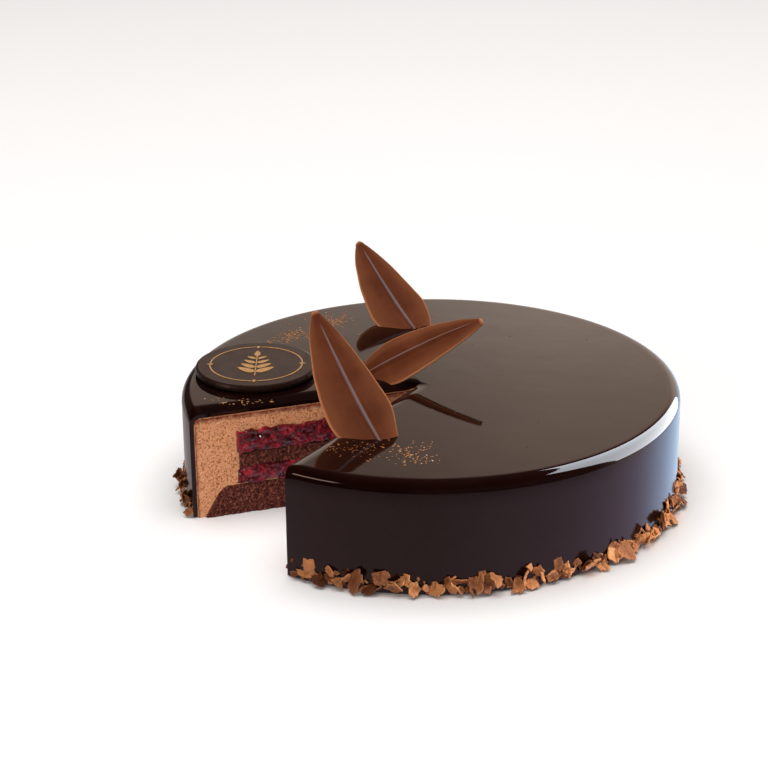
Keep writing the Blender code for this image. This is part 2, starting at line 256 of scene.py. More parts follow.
def sponge_look():
    look = Look("dark_sponge", 0.9, 1.35)
    grain = look.noise(0.0014, 8.0, 0.82)
    # Darker spots for the pores: painted shade in them, over the sponge's own mottled tone
    shaded_pores = look.span(look.noise(0.0010, 4.0, 0.7), 0.34, 0.62, 0.0, 1.0)
    both = look.weigh(grain, 0.5, shaded_pores, 0.5)
    look.colour(look.ramp(both, SPONGE_STOPS))
    look.bump(both, 0.0009)
    return look.material


def cherry_look():
    look = Look("cherry_filling", 0.10, 1.42)
    look.colour(look.ramp(look.noise(0.0036, 5.0, 0.68), CHERRY_STOPS))
    look.roughness(look.drift(look.noise(0.002), 0.05, 0.22))
    look.bump(look.noise(0.0013, 4.0, 0.6), 0.0010)
    look.set(Subsurface_Weight=0.25, Subsurface_Scale=0.003, Coat_Weight=1.0, Coat_Roughness=0.05)
    return look.material


def leaf_look():
    look = Look("milk_chocolate", 0.36, 1.47)
    tone = look.mottle(look.noise(0.016, 5.0, 0.6), LEAF_COLOURS)
    # Painted highlight: a pale line along the rib, blended over the leaf's mottled colour
    tone = look.blend(look.attribute(LEAF_RIB_HIGHLIGHT), tone, LEAF_RIB_HIGHLIGHT_COLOUR)
    # Painted rim light: a paler orange along the leaf's edges and tip
    look.colour(look.blend(look.attribute(LEAF_RIM_LIGHT), tone, LEAF_RIM_LIGHT_COLOUR))
    look.roughness(look.drift(look.noise(0.005, 3.0), 0.28, 0.40))
    look.bump(look.noise(0.0012, 3.0), 0.00006)
    look.set(Subsurface_Weight=0.10, Subsurface_Scale=0.0020, Specular_IOR_Level=0.05)
    return look.material


def plaque_look():
    look = Look("dark_chocolate", 0.2, 1.46)
    look.colour(look.mottle(look.noise(0.010, 4.0), PLAQUE_COLOURS))
    look.roughness(look.drift(look.noise(0.006, 3.0), 0.24, 0.34))
    look.bump(look.noise(0.0015, 3.0), 0.00001)
    look.set(Specular_IOR_Level=0.27)
    return look.material


def flake_look():
    look = Look("wafer_flake", 0.5, 1.45)
    speck = look.noise(0.0008, 4.0, 0.7)
    grain = look.weigh(look.noise(0.0050, 3.0), 0.25, speck, 0.25)
    # The tone attribute holds each flake's own tone and the painted highlight along its rim
    both = look.weigh(look.attribute(FLAKE_TONE_AND_EDGE_HIGHLIGHT), 0.5, grain, 1.0)
    look.colour(look.ramp(both, FLAKE_STOPS))
    look.roughness(look.drift(speck, 0.35, 0.62))
    look.bump(speck, 0.00030)
    look.set(Subsurface_Weight=0.10, Subsurface_Scale=0.0012, Specular_IOR_Level=0.25)
    return look.material


def gold_look():
    look = Look("gold_print", 0.35)
    grain = look.noise(0.0009, 3.0)
    look.colour(look.mottle(grain, GOLD_COLOURS))
    look.bump(grain, 0.00002)
    look.set(Metallic=0.2)
    return look.material


def floor_look():
    look = Look("studio_floor", 0.9)
    look.colour(look.mottle(look.noise(0.8, 2.0), FLOOR_COLOURS))
    return look.material


# Small helpers for meshes

def add_piece(name, mesh, material, smooth=True):
    mesh.materials.append(material)
    if smooth:
        mesh.shade_smooth()
    piece = bpy.data.objects.new(name, mesh)
    bpy.context.scene.collection.objects.link(piece)
    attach(piece, "root")
    return piece


def outward_mesh(name, points, faces):
    mesh = bpy.data.meshes.new(name)
    mesh.from_pydata([tuple(p) for p in points], [], faces)
    mesh.update()
    bm = bmesh.new()
    bm.from_mesh(mesh)
    bmesh.ops.recalc_face_normals(bm, faces=bm.faces)
    bm.to_mesh(mesh)
    bm.free()
    return mesh


def rim_pairs(count):
    """Each number below count with the next one, round to the first."""
    return [(i, (i + 1) % count) for i in range(count)]


def point_values(mesh, name, values):
    layer = mesh.attributes.new(name, "FLOAT", "POINT")
    layer.data.foreach_set("value", values)


def unit(angle):
    return Vector((math.cos(angle), math.sin(angle)))


def from_cuts(x, y):
    """How far along each cut from the notch's point a place lies, and how far off the cut."""
    offset = Vector((x, y)) - NOTCH_POINT
    for direction in (NEAR_CUT, FAR_CUT):
        along = unit(direction)
        reach = max(offset.dot(along), 0.0)
        yield reach, (offset - along * reach).length


def slump(x, y):
    """The glaze slumps a little towards both cuts, from a little way out of the notch's point."""
    deepest = 0.0
    for (reach, distance), (depth, width) in zip(from_cuts(x, y), (NEAR_SLUMP, FAR_SLUMP)):
        share = max(1.0 - distance / width, 0.0)
        share *= share * min(reach / SLUMP_START, 1.0)
        deepest = max(deepest, depth * share)
    return deepest


def top_height(x, y):
    return CAKE_HEIGHT - slump(x, y)


def reach_to_circle(angle, radius):
    """From the notch's point out to a circle round the cake's axis, or part of the way to the first."""
    if radius < FIRST_RING:
        return reach_to_circle(angle, FIRST_RING) * (radius / FIRST_RING) ** 2
    middle = NOTCH_POINT.dot(unit(angle))
    return -middle + math.sqrt(middle * middle - NOTCH_POINT.length_squared + radius * radius)


# Glaze

GLAZE_STEP = math.radians(1.0)
GLAZE_CUT_STEPS = 26
GLAZE_CUT_FAN = math.radians(30)
CUT_CROWDING = 1.7
GLAZE_RINGS = 32
RING_CROWDING = 1.35
RING_MARGIN = 0.0010
SEAM_INSET = 0.0015
SEAM_MARGIN = 0.0005
FIRST_RING = 0.0053
POINT_RINGS = (0.0010, 0.0020, 0.0036)
GLAZE_ROUND_STEPS = 14


def glaze_angles():
    steps = range(GLAZE_CUT_STEPS + 1)
    fan = [GLAZE_CUT_FAN * (i / GLAZE_CUT_STEPS) ** CUT_CROWDING for i in steps]
    start = [NEAR_CUT + a for a in fan]
    end = [FAR_CUT - a for a in reversed(fan)]
    span = end[0] - start[-1]
    count = round(span / GLAZE_STEP)
    return start + [start[-1] + span * i / count for i in range(1, count)] + end


def rounded(radius, height, size):
    points = []
    for i in range(GLAZE_ROUND_STEPS + 1):
        turn = math.pi / 2 * i / GLAZE_ROUND_STEPS
        points.append((radius - size + size * math.sin(turn), height - size + size * math.cos(turn), 1))
    return points


def glaze_profiles():
    """Outlines of the glaze's top and rim, as radius, height and whether it follows the slump."""
    reach = CAKE_RADIUS - RIM_ROUND
    spread = reach - FIRST_RING - RING_MARGIN
    rings = [FIRST_RING + spread * (i / GLAZE_RINGS) ** RING_CROWDING for i in range(GLAZE_RINGS)]
    inner_radius = CAKE_RADIUS - GLAZE_WALL
    inner_height = CAKE_HEIGHT - GLAZE_TOP
    seam = reach - SEAM_INSET
    rings = [0, *POINT_RINGS] + [r for r in rings if r < seam - SEAM_MARGIN] + [seam]
    top = [(r, CAKE_HEIGHT, 1) for r in rings]
    under = [(r, inner_height, 1) for r in rings]
    wall = [(CAKE_RADIUS, z, 0) for z in (0.040, 0.026, 0.012, GLAZE_FOOT)]
    back = [(inner_radius, GLAZE_FOOT, 0), (inner_radius, 0.020, 0)]
    outside = rounded(CAKE_RADIUS, CAKE_HEIGHT, RIM_ROUND)
    inside = rounded(inner_radius, inner_height, RIM_ROUND - GLAZE_WALL)
    rim = top[-1:] + outside + wall + back + inside[::-1] + under[-1:]
    return top + under[::-1], rim


def glaze_skin(name, profile, material):
    points = []
    columns = []
    shared = {}
    for angle in glaze_angles():
        column = []
        for j, (radius, height, follows) in enumerate(profile):
            if radius == 0 and j in shared:
                column.append(shared[j])
                continue
            reach = reach_to_circle(angle, radius)
            place = NOTCH_POINT + unit(angle) * reach
            points.append((place.x, place.y, height - follows * slump(place.x, place.y)))
            column.append(len(points) - 1)
            if radius == 0:
                shared[j] = len(points) - 1
        columns.append(column)
    faces = []
    for left, right in zip(columns, columns[1:]):
        for j, k in rim_pairs(len(profile)):
            corners = list(dict.fromkeys((left[j], left[k], right[k], right[j])))
            if len(corners) > 2:
                faces.append(corners)
    faces.append(columns[0])
    faces.append(columns[-1])
    mesh = outward_mesh(name, points, faces)
    piece = add_piece(name, mesh, material)
    mesh.set_sharp_from_angle(angle=math.radians(40))
    return piece


# Cut faces: thin closed sheets of relief over the flat cuts of the layers

def smooth_step(value):
    value = min(max(value, 0.0), 1.0)
    return value * value * (3 - 2 * value)


def dome(distance):
    """A round bump over a cell, 1 in its middle and 0 at its edge."""
    return math.sqrt(max(1.0 - min(distance, 1.0) ** 2, 0.0))


def cell_distance(reach, height, size, seed):
    place = Vector((reach / size, height / size, seed))
    return noise.voronoi(place)[0][0]


def lumps(reach, height, size, seed):
    return noise.fractal(Vector((reach / size, height / size, seed)), 0.8, 2.0, 4)


def mousse_relief(reach, height, seed):
    pore = smooth_step(cell_distance(reach, height, 0.0013, seed) / 0.36)
    small = smooth_step(cell_distance(reach, height, 0.0008, seed + 3) / 0.36)
    wave = lumps(reach, height, 0.006, seed + 5)
    return 0.00012 + 0.00020 * pore + 0.00010 * small + 0.00018 * (wave + 0.6)


def sponge_relief(reach, height, seed):
    pore = smooth_step(cell_distance(reach, height, 0.0024, seed) / 0.45)
    grain = dome(cell_distance(reach, height, 0.0012, seed + 2) * 1.4)
    wave = lumps(reach, height, 0.003, seed + 7)
    return 0.00030 + 0.00055 * pore + 0.00050 * grain + 0.00045 * (wave + 0.5)


def cherry_relief(reach, height, seed):
    big = dome(cell_distance(reach, height * 1.1, 0.0080, seed) * 1.15)
    small = dome(cell_distance(reach, height, 0.0027, seed + 2) * 1.25)
    wave = lumps(reach, height, 0.0015, seed + 4)
    return 0.00010 + 0.00200 * big + 0.00060 * small + 0.00028 * wave


def covered(cut, reach, height):
    """How far inside the insert or the base a place on a cut lies, as a share."""
    radius = (NOTCH_POINT + cut.along * reach).length
    base_end = BASE_FOOT_RADIUS + (BASE_TOP_RADIUS - BASE_FOOT_RADIUS) * height / BASE_TOP
    depth = min(BASE_TOP - 0.0008 - height, base_end - 0.0012 - radius)
    if radius < INSERT_RADIUS:
        upper = min(height - LOWER_TOP - 0.0006, UPPER_TOP - 0.0006 - height)
        depth = max(depth, min(upper, INSERT_RADIUS - 0.0012 - radius))
    if LOWER_CHERRY_START < radius < INSERT_RADIUS:
        ring = min(radius - LOWER_CHERRY_START - 0.0012, INSERT_RADIUS - 0.0012 - radius)
        depth = max(depth, min(ring, height - BASE_TOP, LOWER_TOP + 0.0012 - height))
    return smooth_step(depth / 0.0010)


class Cut:
    """One of the two cut faces: a place on it is a reach from the notch's point and a height."""

    def __init__(self, label, direction, outward, cell, bulge):
        self.label = label
        self.direction = direction
        self.along = unit(direction)
        self.outward = unit(outward)
        self.cell = cell
        self.bulge = bulge

    def place(self, reach, height, lift):
        flat = NOTCH_POINT + self.along * reach + self.outward * lift
        return (flat.x, flat.y, height)

    def reach(self, radius):
        return reach_to_circle(self.direction, radius)


CUTS = (
    Cut("near", NEAR_CUT, NEAR_CUT - math.pi / 2, cell=0.00050, bulge=0.0040),
    Cut("far", FAR_CUT, FAR_CUT + math.pi / 2, cell=0.00036, bulge=0.0006),
)
BURIED = -0.00022
EDGE = 0.0009
STAIN_TOP = 0.0032
STAIN_WALL = 0.0016
SPONGE_WAVE = 0.0010
CHERRY_WAVE = 0.0014
WAVE_LENGTH = 0.007
BULGE_START = 0.05


def eased(lift, inset, shown=1.0):
    """A relief's height, sunk behind the cut at its border and where it isn't shown."""
    return BURIED + (lift - BURIED) * smooth_step(inset / EDGE) * shown


def relief_sheet(cut, name, rows, columns, spot, material):
    """A closed sheet: the relief in front, by spot(share up, share along), and a flat back."""
    points = []
    for i in range(rows + 1):
        for j in range(columns + 1):
            points.append(cut.place(*spot(i / rows, j / columns)))
    row = columns + 1
    faces = []
    for i in range(rows):
        for j in range(columns):
            a = i * row + j
            faces.append((a, a + 1, a + row + 1, a + row))
    border = list(range(row))
    border += [i * row + columns for i in range(1, rows + 1)]
    border += [rows * row + j for j in range(columns - 1, -1, -1)]
    border += [i * row for i in range(rows - 1, 0, -1)]
    faces.append(tuple(border))
    return add_piece(name, outward_mesh(name, points, faces), material)


def slab_sheet(cut, name, reaches, heights, filling, seed):
    """Relief over one layer, whose outline wanders a little and rounds in at its border."""
    start, end = reaches
    low, high = heights
    relief, wave, material, slot = filling

    def spot(v, u):
        reach = start + (end - start) * u
        floor = low + wave * lumps(reach, 0.0, WAVE_LENGTH, seed + 11)
        roof = high + wave * lumps(reach, 0.0, WAVE_LENGTH, seed + 23)
        height = floor + (roof - floor) * v
        inset = min(reach - start, end - reach, height - floor, roof - height)
        return reach, height, eased(relief(reach, height, seed), inset)

    rows = max(int((high - low) / cut.cell), 2)
    columns = max(int((end - start) / cut.cell), 2)
    return relief_sheet(cut, name, rows, columns, spot, material)


def mousse_roof(cut, reach):
    """Height of the mousse's top at the cut, under the glaze and round the rim."""
    wall = cut.reach(CAKE_RADIUS - GLAZE_WALL - GAP)
    size = RIM_ROUND - GLAZE_WALL
    flat = NOTCH_POINT + cut.along * reach
    top = CAKE_HEIGHT - GLAZE_TOP - GAP - slump(flat.x, flat.y)
    over = max(reach - (wall - size), 0.0)
    return top - size + math.sqrt(max(size * size - over * over, 0.0))


def mousse_sheet(cut, seed, material):
    end = cut.reach(CAKE_RADIUS - GLAZE_WALL - GAP)
    stains = []

    def spot(v, u):
        reach = end * u
        roof = mousse_roof(cut, reach)
        height = roof * v
        near_glaze = max(1 - (roof - height) / STAIN_TOP, 1 - (end - reach) / STAIN_WALL)
        stains.append(smooth_step(near_glaze + 0.22 * lumps(reach, height, 0.0022, seed + 9)))
        inset = min(reach + EDGE, end - reach, height + EDGE / 2, roof - height)
        shown = 1 - covered(cut, reach, height)
        return reach, height, eased(mousse_relief(reach, height, seed), inset, shown)

    rows = int(CAKE_HEIGHT / cut.cell)
    columns = int(end / cut.cell)
    name = f"{cut.label}_mousse"
    piece = relief_sheet(cut, name, rows, columns, spot, material)
    point_values(piece.data, MOUSSE_STAIN, stains)
    return piece


def base_sheet(cut, seed, material):
    top_end = cut.reach(BASE_TOP_RADIUS)
    foot_end = cut.reach(BASE_FOOT_RADIUS)

    def spot(v, u):
        height = (BASE_TOP + 0.0006 * lumps(u * foot_end, 0.0, 0.008, seed)) * v
        end = foot_end + (top_end - foot_end) * v - 0.002 * smooth_step((v - 0.75) / 0.25)
        reach = end * u
        inset = min(reach + EDGE, end - reach, height + EDGE, (1 - v) * BASE_TOP)
        lean = cut.bulge * smooth_step(1 - v) * smooth_step(reach / BULGE_START)
        return reach, height, eased(sponge_relief(reach, height, seed) + lean, inset)

    rows = int(BASE_TOP / cut.cell)
    columns = int(foot_end / cut.cell)
    name = f"{cut.label}_base_sponge"
    return relief_sheet(cut, name, rows, columns, spot, material)


def cut_faces(mousse, sponge, cherry):
    pieces = []
    dark = (sponge_relief, SPONGE_WAVE, sponge, "dark_sponge")
    red = (cherry_relief, CHERRY_WAVE, cherry, "cherry_filling")
    for number, cut in enumerate(CUTS):
        seed = 10.0 + 40.0 * number
        pieces.append(mousse_sheet(cut, seed, mousse))
        pieces.append(base_sheet(cut, seed + 1, sponge))
        end = cut.reach(INSERT_RADIUS)
        ring_start = cut.reach(LOWER_CHERRY_START)
        slabs = (
            ("middle_sponge", (0.001, end - 0.001), (LOWER_TOP - 0.0004, MIDDLE_TOP + 0.0004), dark),
            ("upper_cherry", (0.001, end), (MIDDLE_TOP - 0.0002, UPPER_TOP + 0.0004), red),
            ("lower_cherry", (ring_start, end), (BASE_TOP - 0.0002, LOWER_TOP + 0.0010), red),
        )
        for step, (layer, reaches, heights, filling) in enumerate(slabs, start=2):
            name = f"{cut.label}_{layer}"
            pieces.append(slab_sheet(cut, name, reaches, heights, filling, seed + step))
    return pieces


# Flakes round the foot

LOW_FLAKE_PITCH = 0.0084
HIGH_FLAKE_PITCH = 0.0160
MIDDLE_FLAKE_PITCH = 0.0042
CRUMB_PITCH = 0.0020
FLAKE_WIDTHS = (0.0066, 0.0124)
FLAKE_LENGTHS = (0.0056, 0.0114)
FLAKE_THICKNESSES = (0.0006, 0.0009)
FLAKE_CURVES = (-22.0, 34.0)
TURNED_OVER = 0.3
FLAKE_BITE = 0.0006
FLAKE_CORNERS = 5
FLAKE_RIM = 28
CRUMB_RIM = 14
CRUMB_LENGTH = 0.0042
CORNER_SHIFT = 0.32
CORNER_SIZES = (0.58, 1.20)
FLAKE_YAW = 38
BROKEN_YAW = 60
BROKEN_LEANS = (-40, 52)
RAG_SCALE = 700.0
BLISTER_SCALE = 330.0
BLISTER_DEPTH = 0.00060
SMALL_BLISTER_DEPTH = 0.00028


class FlakeHeap:
    """Gathers all flakes into one mesh."""

    def __init__(self):
        self.points = []
        self.faces = []
        self.tones = []

    def add(self, angle, height, width, length, lean, yaw, draw):
        outward = Vector((math.cos(angle), math.sin(angle), 0))
        sideways = Vector((-math.sin(angle), math.cos(angle), 0))
        face = outward * math.cos(yaw) + sideways * math.sin(yaw)
        level = sideways * math.cos(yaw) - outward * math.sin(yaw)
        upright = Vector((0, 0, 1)) * math.cos(lean) - face * math.sin(lean)
        normal = level.cross(upright)
        thickness = draw.uniform(*FLAKE_THICKNESSES)
        curve = draw.uniform(*FLAKE_CURVES)
        spin = draw.uniform(0, math.tau)
        corners = []
        for i in range(FLAKE_CORNERS):
            turn = spin + math.tau * (i + draw.uniform(-CORNER_SHIFT, CORNER_SHIFT)) / FLAKE_CORNERS
            size = draw.uniform(*CORNER_SIZES)
            corners.append((math.cos(turn) * size * width / 2, math.sin(turn) * size * length / 2))
        ends = []
        for across, along in corners:
            flat = level * across + upright * along + normal * (curve * across * across)
            ends += [flat + normal * (side * thickness / 2) for side in (1, -1)]
        centre = outward * (CAKE_RADIUS + length) + Vector((0, 0, height))
        nearest = min((centre + p).to_2d().length for p in ends)
        centre -= outward * (nearest - CAKE_RADIUS + FLAKE_BITE)
        lowest = min((centre + p).z for p in ends)
        centre.z += max(GLAZE_FOOT - lowest, 0.0)
        self.shard(centre, corners, (level, upright, normal), thickness, curve)

    def shard(self, centre, corners, axes, thickness, curve):
        """A thin bent plate with a ragged rim and a blistered face, inside the corners given."""
        rim = []
        count = len(corners)
        spread = max(abs(along) for _, along in corners)
        steps = CRUMB_RIM if spread < CRUMB_LENGTH / 2 else FLAKE_RIM
        for i in range(steps):
            share = i * count / steps
            k = int(share)
            across = corners[k][0] + (corners[(k + 1) % count][0] - corners[k][0]) * (share - k)
            along = corners[k][1] + (corners[(k + 1) % count][1] - corners[k][1]) * (share - k)
            spot = Vector((across * RAG_SCALE, along * RAG_SCALE, centre.x * 70 + centre.y * 40))
            ragged = min(0.94 + 0.26 * noise.noise(spot) + 0.20 * noise.noise(spot * 2.9), 1.06)
            rim.append((across * ragged, along * ragged))
        middle_across = sum(across for across, _ in corners) / count
        middle_along = sum(along for _, along in corners) / count
        tone = 0.55 + 1.3 * noise.noise(centre * 260.0)
        base = len(self.points)
        # Each flake keeps its own random tone, painted paler towards its rim as an edge highlight and
        # darker at its middle
        for side in (1, -1):
            for ring, depth in ((1.0, 0.30), (0.90, 0.5), (0.48, 0.5)):
                for x, y in rim:
                    across = middle_across + (x - middle_across) * ring
                    along = middle_along + (y - middle_along) * ring
                    self.place(centre, across, along, axes, side * depth * thickness, curve)
                    self.tones.append(min(max(tone + 0.25 * (ring - 0.6), 0.0), 1.0))
            self.place(centre, middle_across, middle_along, axes, side * thickness / 2, curve)
            self.tones.append(min(max(tone - 0.15, 0.0), 1.0))
        half = 3 * steps + 1
        for side in range(2):
            start = base + side * half
            for ring in range(2):
                for i, k in rim_pairs(steps):
                    a = start + ring * steps
                    b = a + steps
                    self.turned(side, (a + i, a + k, b + k, b + i))
            hub = start + 3 * steps
            for i, k in rim_pairs(steps):
                self.turned(side, (start + 2 * steps + i, start + 2 * steps + k, hub))
        for i, k in rim_pairs(steps):
            self.faces.append((base + i, base + half + i, base + half + k, base + k))

    def place(self, centre, across, along, axes, lift, curve):
        level, upright, normal = axes
        spot = Vector((across * BLISTER_SCALE, along * BLISTER_SCALE, centre.x * 90 + centre.y * 50))
        blister = BLISTER_DEPTH * noise.noise(spot) + SMALL_BLISTER_DEPTH * noise.noise(spot * 3.1)
        bend = curve * across * across + blister
        self.points.append(centre + level * across + upright * along + normal * (bend + lift))

    def turned(self, side, corners):
        self.faces.append(corners if side == 0 else corners[::-1])


def flake_row(heap, pitch, heights, leans, seed):
    draw = random.Random(seed)
    count = int((FAR_CUT - NEAR_CUT) * CAKE_RADIUS / pitch)
    for i in range(count):
        place = (i + 0.5 + draw.uniform(-0.3, 0.3)) / count
        angle = NEAR_CUT + (FAR_CUT - NEAR_CUT) * place
        height = draw.uniform(*heights)
        width = draw.uniform(*FLAKE_WIDTHS)
        length = draw.uniform(*FLAKE_LENGTHS)
        lean = math.radians(draw.uniform(*leans))
        if draw.random() < TURNED_OVER:
            lean = -0.7 * lean
        yaw = math.radians(draw.uniform(-FLAKE_YAW, FLAKE_YAW))
        heap.add(angle, height, width, length, lean, yaw, draw)


def broken_row(heap, pitch, heights, sizes, seed):
    """Smaller broken flakes that fill in between the large ones."""
    draw = random.Random(seed)
    count = int((FAR_CUT - NEAR_CUT) * CAKE_RADIUS / pitch)
    for i in range(count):
        place = (i + draw.uniform(0.1, 0.9)) / count
        angle = NEAR_CUT + (FAR_CUT - NEAR_CUT) * place
        height = draw.triangular(*heights)
        size = draw.uniform(*sizes)
        lean = math.radians(draw.uniform(*BROKEN_LEANS))
        yaw = math.radians(draw.uniform(-BROKEN_YAW, BROKEN_YAW))
        heap.add(angle, height, size, size * draw.uniform(0.7, 1.4), lean, yaw, draw)


def flakes_round_foot(material):
    """Two rows of large flakes, and two of broken ones whose heights have a lowest, highest and usual."""
    heap = FlakeHeap()
    flake_row(heap, LOW_FLAKE_PITCH, heights=(0.0022, 0.0040), leans=(14, 62), seed=23)
    flake_row(heap, HIGH_FLAKE_PITCH, heights=(0.0056, 0.0086), leans=(-12, 34), seed=35)
    broken_row(heap, MIDDLE_FLAKE_PITCH, (0.0015, 0.0088, 0.0032), sizes=(0.0042, 0.0070), seed=48)
    broken_row(heap, CRUMB_PITCH, (0.0010, 0.0105, 0.0030), sizes=(0.0016, 0.0038), seed=55)
    mesh = outward_mesh("wafer_flakes", heap.points, heap.faces)
    point_values(mesh, FLAKE_TONE_AND_EDGE_HIGHLIGHT, heap.tones)
    return add_piece("wafer_flakes", mesh, material, smooth=False)


# Chocolate leaves

LEAF_THICKNESS = 0.0024
LEAF_FOOT_SHARE = 0.65
LEAF_WIDEST = 0.267
LEAF_TIP_ROUND = 0.0024
LEAF_TIP = 0.9960
LEAF_RIB = 0.0006
LEAF_GROOVE = 0.0003
LEAF_RIDGE = 0.0004
LEAF_ROWS = 90
LEAF_COLUMNS = 60
LEAF_SINK = 0.0005
LEAF_WAVER = 0.022
LEAF_ROUND_FROM = 0.92
LEAF_ROUND_SHARE = 0.92
LEAF_THINNING = 0.55


def leaf_half_width(t, length, width):
    if t < LEAF_WIDEST:
        share = LEAF_FOOT_SHARE + (1 - LEAF_FOOT_SHARE) * math.sin(math.pi / 2 * t / LEAF_WIDEST)
    else:
        share = (1 - ((t - LEAF_WIDEST) / (1 - LEAF_WIDEST)) ** 1.39) ** 0.65
    from_tip = min((1 - t) * length, LEAF_TIP_ROUND)
    tip = math.sqrt(LEAF_TIP_ROUND ** 2 - (LEAF_TIP_ROUND - from_tip) ** 2)
    return max(width / 2 * share, tip)


def leaf_relief(s, t):
    rib = math.exp(-((s / 0.09) ** 2))
    groove = math.exp(-(((abs(s) - 0.18) / 0.09) ** 2))
    ridge = math.exp(-(((abs(s) - 0.55) / 0.17) ** 2))
    fade = min(1.0, 3.0 * (1.0 - t))
    return fade * (LEAF_RIB * rib - LEAF_GROOVE * groove + LEAF_RIDGE * ridge)


class Leaf:
    """A chocolate leaf that stands on the glaze and leans over, with a rounded thin edge."""

    def __init__(self, foot, heading, lean, turn, length, width, curl, fold, skew):
        heading = math.radians(heading)
        lean = math.radians(lean)
        turn = math.radians(turn)
        out = Vector((math.cos(heading), math.sin(heading), 0))
        level = Vector((-math.sin(heading), math.cos(heading), 0))
        self.axis = out * math.sin(lean) + Vector((0, 0, 1)) * math.cos(lean)
        self.across = level * math.cos(turn) + self.axis.cross(level) * math.sin(turn)
        self.normal = self.across.cross(self.axis)
        self.foot = Vector(foot)
        self.length = length
        self.width = width
        self.curl = curl
        self.fold = math.radians(fold)
        self.skew = skew

    def point(self, s, t, side):
        """The place at a share s across the leaf, from -1 to 1, and a share t up it, on either face."""
        half = leaf_half_width(t, self.length, self.width) * (1 + self.skew * math.copysign(1.0, s))
        waver = noise.noise(Vector((math.copysign(3.0, s), t * 9, self.foot.x * 100)))
        half *= 1 + LEAF_WAVER * waver
        reach = half * s * math.cos(self.fold)
        back = half * abs(s) * math.sin(self.fold)
        past = max(abs(s) - LEAF_ROUND_FROM, 0.0) / (1 - LEAF_ROUND_FROM)
        round_off = math.sqrt(max(1.0 - past ** 2 * LEAF_ROUND_SHARE, 0.0))
        edge = (1.0 - LEAF_THINNING * s * s) * round_off
        lift = back + self.curl * 4 * t * (1 - t) - leaf_relief(s, t) + side * LEAF_THICKNESS / 2 * edge
        return self.foot + self.axis * (self.length * t) + self.across * reach + self.normal * lift

    def start(self, s, side):
        low = 0.0
        high = 0.5
        for _ in range(30):
            middle = (low + high) / 2
            place = self.point(s, middle, side)
            if place.z < top_height(place.x, place.y) - LEAF_SINK:
                low = middle
            else:
                high = middle
        return high


# Painted rim light: full at the thin edge and the tip, and a faint paleness over the leaf's outer halves
def painted_leaf_rim_light(s, t):
    edge = max(smooth_step((abs(s) - 0.90) / 0.10), smooth_step((t - 0.965) / 0.03))
    return max(edge, 0.15 * smooth_step((abs(s) - 0.35) / 0.55))


def painted_leaf_rib_highlight(s, t):
    """A painted highlight: a pale line along one side of the rib, which fades out at the tip."""
    return 0.6 * math.exp(-(((s - 0.045) / 0.027) ** 2)) * smooth_step((0.93 - t) / 0.1)


def leaf_piece(name, leaf, material):
    points = []
    faces = []
    rim_lights = []
    rib_highlights = []
    sides = {}
    for side in (1, -1):
        lines = [-math.cos(math.pi * j / LEAF_COLUMNS) for j in range(LEAF_COLUMNS + 1)]
        lines = [0.6 * s + 0.4 * s * abs(s) for s in lines]
        starts = [leaf.start(s, side) for s in lines]
        rows = []
        for i in range(LEAF_ROWS + 1):
            share = math.sin(math.pi / 2 * i / LEAF_ROWS)
            row = []
            for s, start in zip(lines, starts):
                t = start + (LEAF_TIP - start) * share
                points.append(leaf.point(s, t, side))
                rim_lights.append(painted_leaf_rim_light(s, t))
                # The painted rib highlight goes only on the face turned towards the camera
                rib_highlights.append(painted_leaf_rib_highlight(s, t) if side < 0 else 0.0)
                row.append(len(points) - 1)
            rows.append(row)
        sides[side] = rows
        for i in range(LEAF_ROWS):
            for j in range(LEAF_COLUMNS):
                faces.append((rows[i][j], rows[i][j + 1], rows[i + 1][j + 1], rows[i + 1][j]))
    front = leaf_border(sides[1])
    back = leaf_border(sides[-1])
    for i, k in rim_pairs(len(front)):
        faces.append((front[i], front[k], back[k], back[i]))
    mesh = outward_mesh(name, points, faces)
    point_values(mesh, LEAF_RIM_LIGHT, rim_lights)
    point_values(mesh, LEAF_RIB_HIGHLIGHT, rib_highlights)
    piece = add_piece(name, mesh, material)
    mesh.set_sharp_from_angle(angle=math.radians(60))
    return piece


def leaf_border(rows):
    right = [row[-1] for row in rows[1:-1]]
    left = [row[0] for row in rows[-2:0:-1]]
    return rows[0] + right + rows[-1][::-1] + left


def leaves(material):
    front = Leaf(
        (-0.0229, -0.0687, CAKE_HEIGHT - 0.0015), heading=124.4, lean=48.7, turn=-19.0,
        length=0.0688, width=0.0295, curl=0.0025, fold=6.0, skew=0.14,
    )
    back = Leaf(
        (-0.0056, 0.0679, CAKE_HEIGHT - 0.0009), heading=120.6, lean=61.3, turn=-12.5,
        length=0.0630, width=0.0286, curl=0.0014, fold=7.0, skew=0.06,
    )
    side = Leaf(
        (-0.0287, 0.0083, CAKE_HEIGHT - 0.0004), heading=0.1, lean=63.8, turn=25.6,
        length=0.0594, width=0.0277, curl=-0.0015, fold=1.0, skew=-0.02,
    )
    for name, leaf in (("front", front), ("back", back), ("side", side)):
        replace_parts(leaf_piece(f"chocolate_leaf_{name}", leaf, material), f"leaf_{name}")


# The print on the disc: a plain ring and a sprig, as thin flat shapes

PLAQUE_CENTRE = Vector((-0.0812, 0.0134))
PLAQUE_RADIUS = 0.0286
PLAQUE_TOP = CAKE_HEIGHT + GAP + 0.0035
PRINT_LIFT = 0.00004
PRINT_THICKNESS = 0.00010
RING_ARCS = 4
RING_ARC_SHARE = 0.92
RING_RADIUS = 0.0216
RING_WIDTH = 0.0007
BEAD_RADIUS = 0.0202
BEAD_TURN = 0.062
SPRIG_FOOT = -0.0150
SPRIG_TOP = 0.0096
SPRIG_STEM = 0.0006
STEM_WIDTH = 0.0005
PETAL_RISE = math.radians(38)


